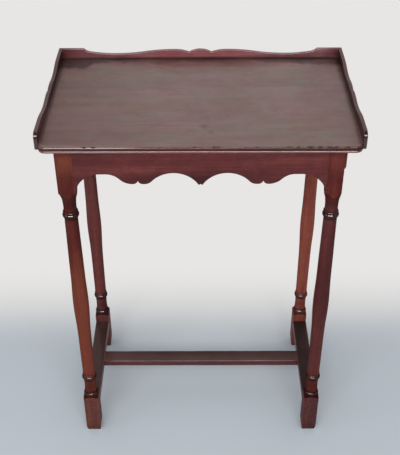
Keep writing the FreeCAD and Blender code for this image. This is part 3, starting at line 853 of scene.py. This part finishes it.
def leg_surface(legs):
    """A turned leg on the Z axis. At each direction round the leg it is as thick as the square
    blank or the lathe's cut, whichever is less, with the line where they meet eased."""
    half = LEG_SQUARE / 2
    square, corner_mark = soft_square(half, legs.arris / MM)
    reach = np.abs(square)
    direction = square / reach
    foot = legs.foot_block / MM
    rows = []

    def add(radius, height, *marks):
        """A row round the leg, with its marks for rubbed edges, old wax and painted shade, dark
        stretches and gleam, as far as given.
        """
        plan = radius * direction
        parts = (plan.real, plan.imag, height, *marks, 0, 0, 0, 0)[:7]
        rows.append(np.stack(np.broadcast_arrays(*parts), axis=-1))

    # sole and foot block
    sole, straight_from = 1.7, 13
    rubbed = 0.3 + corner_mark * 0.4
    add(reach * 1e-4, 0)
    add(reach * 0.6, 0)
    for inset, height, rub in ((1.6, 0, 0.3), (1.1, 0.15, 0.8), (0.45, 0.7, 1), (0.1, 1.5, 0.5)):
        add(reach * (1 - (sole + inset) / half), height, rub)
    for height in (4, 8, 11, straight_from):
        inset = sole * max(0, 1 - height / 12) ** 1.15
        add(reach * (1 - inset / half), height, rubbed, 0.3, 0, 0.2)
    cut_height = foot - 0.5 * (reach - BLOCK_ROUND)
    for share in shares(11):
        height = straight_from + share * (cut_height - 0.9 - straight_from)
        add(reach, height, rubbed, 0.2, 0, 0.2)
    into = np.minimum(0.6, 0.45 * (reach - BLOCK_ROUND))
    for share in shares(4):
        height = bend(cut_height - 0.9, cut_height, cut_height + 0.5 * into, share)
        radius = bend(reach, reach, reach - into, share)
        add(radius, height, 0.4 * (1 - share), 0.4 * share, 0.3 * share)
    for share in (0.4, 0.8):
        radius = (reach - into) * (1 - share) + BLOCK_ROUND * share
        add(radius, foot - 0.5 * (radius - BLOCK_ROUND), 0, 0.7, 0.7)

    # turned part
    profile = turned_profile(legs)
    radii, heights = profile.T
    nearby = np.interp(heights[:, None] + np.linspace(-4, 4, 17), heights, radii)
    relief = radii - nearby.mean(axis=1)
    upward = -left_normals(profile)[:, 1]
    crest = ramp(radii, 12, 12.5) * np.clip(2.2 * upward - 0.2, 0, 1) * ramp(upward, 0.97, 0.72)
    # painted shade: how far a face looks down, used to darken and dull the undersides of the dark
    # stretches
    under = np.clip(-1.5 * upward - 0.2, 0, 0.9)
    facing = np.clip(2.2 * np.abs(direction.imag) - 0.9, 0, 1)
    tones = [strength * bump_at(heights, middle, long) for middle, long, strength in DARKENED]
    tone = np.max(tones, axis=0)
    # old wax in the grooves, and painted shade on the undersides
    wax_and_shade = np.maximum(np.clip(-relief / 0.9, 0, 0.5), under * tone)
    for row in zip(radii, heights, np.clip(relief, 0, 0.3), wax_and_shade, tone, tone * crest):
        add(*row[:-1], row[-1] * facing)

    # shoulder and top block
    cut_radii, cut_heights = shoulder(legs).T
    edge = reach - np.minimum(0.7, 0.3 * (reach - NECK))
    for share in shares(13):
        radius = NECK + share * (edge - NECK)
        add(radius, np.interp(radius, cut_radii, cut_heights), 0, 0, 0.3)
    low = np.interp(edge, cut_radii, cut_heights)
    crease = np.interp(reach, cut_radii, cut_heights)
    for share in shares(4):
        radius, height = bend(edge, reach, reach, share), bend(low, crease, crease + 0.9, share)
        add(radius, height, 0.1 * share, 0, 0.3 * (1 - share))
    for share in shares(47)[:-1]:
        add(reach, crease + 0.9 + share * (FRAME_HEIGHT - crease - 0.9), corner_mark)
    add(reach, FRAME_HEIGHT - 0.6, corner_mark, 0.9)
    add(reach, FRAME_HEIGHT, 0, 1)
    add(reach * 0.6, FRAME_HEIGHT)
    add(reach * 1e-4, FRAME_HEIGHT)
    columns = np.moveaxis(np.array(rows), -1, 0)
    marks = dict(zip(("worn", "grimy", "toned", "gleam"), columns[3:]))
    return np.stack(columns[:3], axis=-1), marks


def splintered(grid):
    """X of a leg's points after a splinter has come off the right side of its top block: it goes
    from the shoulder to about 43 mm under the board, is 2.6 mm deep and fades to the back."""
    x, y, height = np.moveaxis(grid, -1, 0)
    rough = wander(height + 0.5 * y, 0.25, 16, 41)
    upper_end = FRAME_HEIGHT - 43 + rough * 4
    lost = ramp(height, upper_end, upper_end - 1.5) * ramp(height, 570, 579) * ramp(y, 4, -6)
    return np.minimum(x, LEG_SQUARE / 2 - lost * (2.6 + rough))


# ---- operators
class TEATABLE_OT_tray_board(bpy.types.Operator):
    """Make the tray board with its moulded front edge"""

    bl_idname = "teatable.tray_board"
    bl_label = "Tray board"

    def execute(self, context):
        finish = polish("tray_top", ALONG_X, context.scene)
        surface = board_surface(context.scene.teatable_tray)
        add_piece("tray_board", finish, "tray_mahogany", "top_board", *surface)
        return {"FINISHED"}


class TEATABLE_OT_gallery(bpy.types.Operator):
    """Make the shaped gallery round three sides of the tray"""

    bl_idname = "teatable.gallery"
    bl_label = "Gallery"

    def execute(self, context):
        tray = context.scene.teatable_tray
        softness = tray.softness / MM
        long_finish = polish("gallery_back", ALONG_X, context.scene)
        short_finish = polish("gallery_side", ALONG_Y, context.scene)

        edges = (softness, 0.25, 120, 11)
        grid, worn = soft_bar(back_gallery_lines(), GALLERY_THICKNESS, edges, 16)
        mitre(grid, -GALLERY_SIDE)
        mitre(grid, GALLERY_SIDE)
        out, inside = np.abs(grid[..., 0]), ramp(grid[..., 1], 0, 2)
        ends, corners = ramp(out, 60, 170), ramp(out, 222, 250)
        joint = 0.95 * bump_at(grid[..., 2], BOARD_THICKNESS, 2.6)
        # painted shade: the inner face darkens towards the ends and corners; it is dark at its
        # joint with the board, and the outer face is somewhat darkened
        grimy = np.maximum(0.42 * ends + 0.4 * corners, joint) * inside + 0.35 * (1 - inside)
        gleam = worn * 0.2 + (0.3 + ends * (0.85 - 0.5 * corners)) * inside
        marks = {"worn": worn * 0.6, "grimy": grimy, "gleam": gleam}
        grid = stand(grid, "back", GALLERY_BACK, FRAME_HEIGHT)
        slot = "gallery_mahogany"
        add_piece("back_gallery", long_finish, slot, "gallery_back", grid, marks)

        lines = side_gallery_lines(tray.nose / MM)
        for side, seed in (("left", 12), ("right", 13)):
            grid, worn = soft_bar(lines, GALLERY_THICKNESS, (softness, 0.25, 90, seed), 12)
            mitre(grid, GALLERY_BACK)
            inside = ramp(grid[..., 1], 0, 2)
            nose = ramp(grid[..., 0], GALLERY_FRONT + 15, GALLERY_FRONT + 7)
            gleam = worn * (0.45 + 0.5 * nose) + 1.05 * inside
            marks = {"worn": worn * 0.6, "grimy": 0.68 * inside, "gleam": gleam}
            marks["toned"] = 0.55 * nose
            grid = stand(grid, side, GALLERY_SIDE, FRAME_HEIGHT)
            add_piece(side + "_gallery", short_finish, slot, "gallery_" + side, grid, marks, 1)
        return {"FINISHED"}


class TEATABLE_OT_aprons(bpy.types.Operator):
    """Make the shaped front and side aprons and the plain back apron"""

    bl_idname = "teatable.aprons"
    bl_label = "Aprons"

    def execute(self, context):
        apron = context.scene.teatable_apron
        thickness, softness = apron.thickness / MM, apron.softness / MM
        long_finish = polish("apron", ALONG_X, context.scene)
        short_finish = polish("apron", ALONG_Y, context.scene)
        back_lines = straight_lines(INNER_X, -apron.back_depth / MM, 0, 81)
        plan = (
            ("front", front_apron_lines(apron), HALF_DEPTH, long_finish, 21),
            ("back", back_lines, HALF_DEPTH, long_finish, 22),
            ("left", side_apron_lines(apron), HALF_WIDTH, short_finish, 23),
            ("right", side_apron_lines(apron), HALF_WIDTH, short_finish, 24),
        )
        for side, lines, outer, finish, seed in plan:
            grid, worn = soft_bar(lines, thickness, (softness, 0.15, 130, seed), 14)
            along, height = grid[..., 0], grid[..., 2]
            toned = np.maximum(0.2 * ramp(along, -110, -170), 0.4 * ramp(height, -48, -66))
            toned = toned + 0.25 * bump_at(along, 0, 90) * ramp(height, -25, -45)
            # painted light: the apron is paler towards its top, under the board's overhang
            marks = {"worn": worn, "faded": 0.8 * ramp(height, -30, 0), "toned": toned}
            grid = stand(grid, side, outer, FRAME_HEIGHT)
            add_piece(side + "_apron", finish, "apron_mahogany", "apron_" + side, grid, marks)
        return {"FINISHED"}


class TEATABLE_OT_legs(bpy.types.Operator):
    """Make the four turned legs"""

    bl_idname = "teatable.legs"
    bl_label = "Legs"

    def execute(self, context):
        for place, bleached in FADED.items():
            finish = polish("leg_" + place, ALONG_Z, context.scene)
            row, side = place.split("_")
            centre_x = (HALF_WIDTH - LEG_SQUARE / 2) * (-1 if side == "left" else 1)
            centre_y = (HALF_DEPTH - LEG_SQUARE / 2) * (-1 if row == "front" else 1)
            grid, marks = leg_surface(context.scene.teatable_legs)
            x, height = grid[..., 0], grid[..., 2]
            marks["faded"] = np.interp(height, *zip(*bleached))
            outer = np.where(x < 0, 0.45 if place == "front_left" else 0.25, 0.25)
            beside = outer * ramp(np.abs(x), 6.5, 13.5)
            below = (0.38 if side == "left" else 0.45) * ramp(height, 650, 610)
            block_shade = ramp(height, 600, 620) * np.maximum(beside, below)
            marks["toned"] = np.maximum(marks["toned"], block_shade)
            if place == "front_right":
                column = ramp(height, 150, 155) * ramp(height, 575, 555)
                marks["gleam"] = marks["gleam"] + 0.1 * column
                marks["toned"] = np.maximum(marks["toned"], 0.16 * column)
                grid[..., 0] = splintered(grid)
            grid = grid + (centre_x, centre_y, 0)
            add_piece(place + "_leg", finish, "leg_mahogany", "leg_" + place, grid, marks, 0)
        return {"FINISHED"}


class TEATABLE_OT_stretchers(bpy.types.Operator):
    """Make the H of low stretchers"""

    bl_idname = "teatable.stretchers"
    bl_label = "Stretchers"

    def execute(self, context):
        bars = context.scene.teatable_stretchers
        low, thick, width = bars.height / MM, bars.thickness / MM, bars.cross_width / MM
        long_finish = polish("stretcher_cross", ALONG_X, context.scene)
        short_finish = polish("stretcher_side", ALONG_Y, context.scene)
        slot = "stretcher_mahogany"

        def bar(half, deep, steps, pitch, seed):
            """A level bar as grid, worn mark and mark of its top."""
            edges = (bars.softness / MM, 0.5, pitch, seed)
            grid, worn = soft_bar(straight_lines(half, 0, thick, steps), deep, edges, 4)
            return grid, worn, ramp(grid[..., 2], thick - 1, thick)

        # dust on both tops; the right one is darkened more, painted shade
        for side, wax_and_shade, seed in (("left", 0.3, 31), ("right", 0.95, 32)):
            grid, worn, top = bar(INNER_Y, LEG_SQUARE, 61, 110, seed)
            marks = {"worn": worn, "grimy": wax_and_shade * top, "faded": top, "gleam": 0.3 * worn}
            grid = stand(grid, side, HALF_WIDTH, low)
            add_piece(side + "_stretcher", short_finish, slot, "stretcher_" + side, grid, marks)
        grid, worn, top = bar(INNER_X, width, 121, 140, 33)
        grimy = (0.42 + 0.5 * ramp(grid[..., 1], width - 12, width - 3)) * top
        marks = {"worn": 0.35 * worn, "grimy": grimy, "faded": top, "gleam": 0.6 * worn}
        grid = stand(grid, "front", width / 2, low)
        add_piece("cross_stretcher", long_finish, slot, "stretcher_cross", grid, marks)
        return {"FINISHED"}


class TEATABLE_OT_glue_blocks(bpy.types.Operator):
    """Finish the glue blocks under the board as bare wood"""

    bl_idname = "teatable.glue_blocks"
    bl_label = "Glue blocks"

    def execute(self, context):
        shades = context.scene.teatable_finish
        long_finish = bare_wood("glue_block_long_wood", ALONG_X, shades)
        short_finish = bare_wood("glue_block_short_wood", ALONG_Y, shades)
        for name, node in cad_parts.items():
            if name.startswith("glue_block"):
                short = name in ("glue_block_left", "glue_block_right")
                for slot in node.material_slots:
                    slot.material = short_finish if short else long_finish
        return {"FINISHED"}


class TEATABLE_OT_stage(bpy.types.Operator):
    """Set up the floor, the lamps, the air and the camera"""

    bl_idname = "teatable.stage"
    bl_label = "Stage"

    def execute(self, context):
        scene = context.scene
        stage = scene.teatable_stage
        self.lay_floor(scene, stage)
        self.fill_air(scene, stage)
        self.hang_lamp(scene, "key_lamp", (-0.15, -2.1, 2.05), 0.62, (2.6, 0.9), stage.key)
        self.hang_lamp(scene, "left_lamp", (-2.1, -0.9, 1.7), 0.4, (1, 1.2), stage.fill)
        self.hang_lamp(scene, "right_lamp", (2.1, -0.7, 1.7), 0.4, (1, 1.2), stage.fill * 0.3)
        self.set_camera(scene)
        return {"FINISHED"}

    def lay_floor(self, scene, stage):
        """A square of paper that is the backdrop's colour from behind the table on."""
        corners = [(9 * x, 9 * y, 0) for x, y in ((-1, -1), (1, -1), (1, 1), (-1, 1))]
        mesh = bpy.data.meshes.new("floor")
        mesh.from_pydata(corners, [], [(0, 1, 2, 3)])
        finish = Finish(bpy.data.materials.new("floor_paper"))
        place = finish.node("TexCoord", output="Object")
        far = finish.step(finish.axis(place, 1), 0.10, 0.42)
        shade = finish.mix(far, stage.floor, stage.backdrop)
        skin = {"Base Color": shade, "Roughness": 0.85, "Specular IOR Level": 0.15}
        paper = finish.node("BsdfPrincipled", skin)
        glow = finish.node("Emission", {"Color": stage.backdrop})
        seen = finish.node("LightPath", output="Is Camera Ray")
        surface = finish.node("MixShader", {0: far * seen, 1: paper, 2: glow})
        mesh.materials.append(finish.end("Material", surface))
        floor = bpy.data.objects.new("floor", mesh)
        scene.collection.objects.link(floor)

    def fill_air(self, scene, stage):
        """The air is the backdrop's colour to the camera. In gloss it is that colour behind the
        table and dim in front, like a sheet hung in a room; else it is soft light."""
        scene.world = bpy.data.worlds.new("studio_air")
        air = Finish(scene.world)
        seen = air.node("LightPath", output="Is Camera Ray")
        glossy = air.node("LightPath", output="Is Glossy Ray")
        way = air.node("TexCoord", output="Generated")
        behind = air.step(air.axis(way, 1), 0, 0.6, 0.08, 1)
        soft = air.step(air.axis(way, 2), -0.1, 0.9, 0.32, 0.80)
        strength = seen + (1 - seen) * (glossy * behind + (1 - glossy) * soft)
        sky = {"Color": stage.backdrop, "Strength": strength}
        air.end("World", air.node("Background", sky))

    def hang_lamp(self, scene, name, place, aim_height, size, power):
        """A lamp turned to a point at some height over the middle of the floor."""
        lamp = bpy.data.lights.new(name, "AREA")
        lamp.shape = "RECTANGLE"
        lamp.size, lamp.size_y = size
        lamp.energy = power
        made = bpy.data.objects.new(name, lamp)
        made.location = place
        x, y, height = place
        tilt = math.atan2(math.hypot(x, y), height - aim_height)
        made.rotation_euler = (tilt, 0, math.atan2(-y, -x) - QUARTER)
        scene.collection.objects.link(made)

    def set_camera(self, scene):
        camera = bpy.data.cameras.new("camera")
        camera.sensor_width = 36
        camera.lens = 66.88
        made = bpy.data.objects.new("camera", camera)
        made.location = (0.0005, -1.2850, 1.3727)
        made.rotation_euler = [math.radians(turn) for turn in (53.39, 0.14, -0.02)]
        scene.collection.objects.link(made)
        scene.camera = made


class TEATABLE_PT_panel(bpy.types.Panel):
    """Makes the table piece by piece"""

    bl_idname = "TEATABLE_PT_panel"
    bl_label = "Tea table"
    bl_space_type = "VIEW_3D"
    bl_region_type = "UI"
    bl_category = "Tea table"

    def draw(self, context):
        for operator in OPERATORS:
            self.layout.operator(operator.bl_idname)
        for holder, group in GROUPS.items():
            box = self.layout.box()
            box.label(text=holder.split("_")[1].capitalize())
            for key in group.__annotations__:
                box.prop(getattr(context.scene, holder), key)


GROUPS = {
    "teatable_tray": TeaTableTray,
    "teatable_apron": TeaTableApron,
    "teatable_legs": TeaTableLegs,
    "teatable_stretchers": TeaTableStretchers,
    "teatable_finish": TeaTableFinish,
    "teatable_stage": TeaTableStage,
}
OPERATORS = (
    TEATABLE_OT_tray_board,
    TEATABLE_OT_gallery,
    TEATABLE_OT_aprons,
    TEATABLE_OT_legs,
    TEATABLE_OT_stretchers,
    TEATABLE_OT_glue_blocks,
    TEATABLE_OT_stage,
)


def register():
    for kind in (*GROUPS.values(), *OPERATORS, TEATABLE_PT_panel):
        bpy.utils.register_class(kind)
    for holder, group in GROUPS.items():
        setattr(bpy.types.Scene, holder, PointerProperty(type=group))


def unregister():
    for holder in GROUPS:
        delattr(bpy.types.Scene, holder)
    for kind in (TEATABLE_PT_panel, *OPERATORS[::-1], *list(GROUPS.values())[::-1]):
        bpy.utils.unregister_class(kind)


def main():
    register()
    bpy.ops.teatable.tray_board()
    bpy.ops.teatable.gallery()
    bpy.ops.teatable.aprons()
    bpy.ops.teatable.legs()
    bpy.ops.teatable.stretchers()
    bpy.ops.teatable.glue_blocks()
    bpy.ops.teatable.stage()
    bpy.context.scene.view_settings.view_transform = "Standard"


if __name__ == "__main__":
    main()
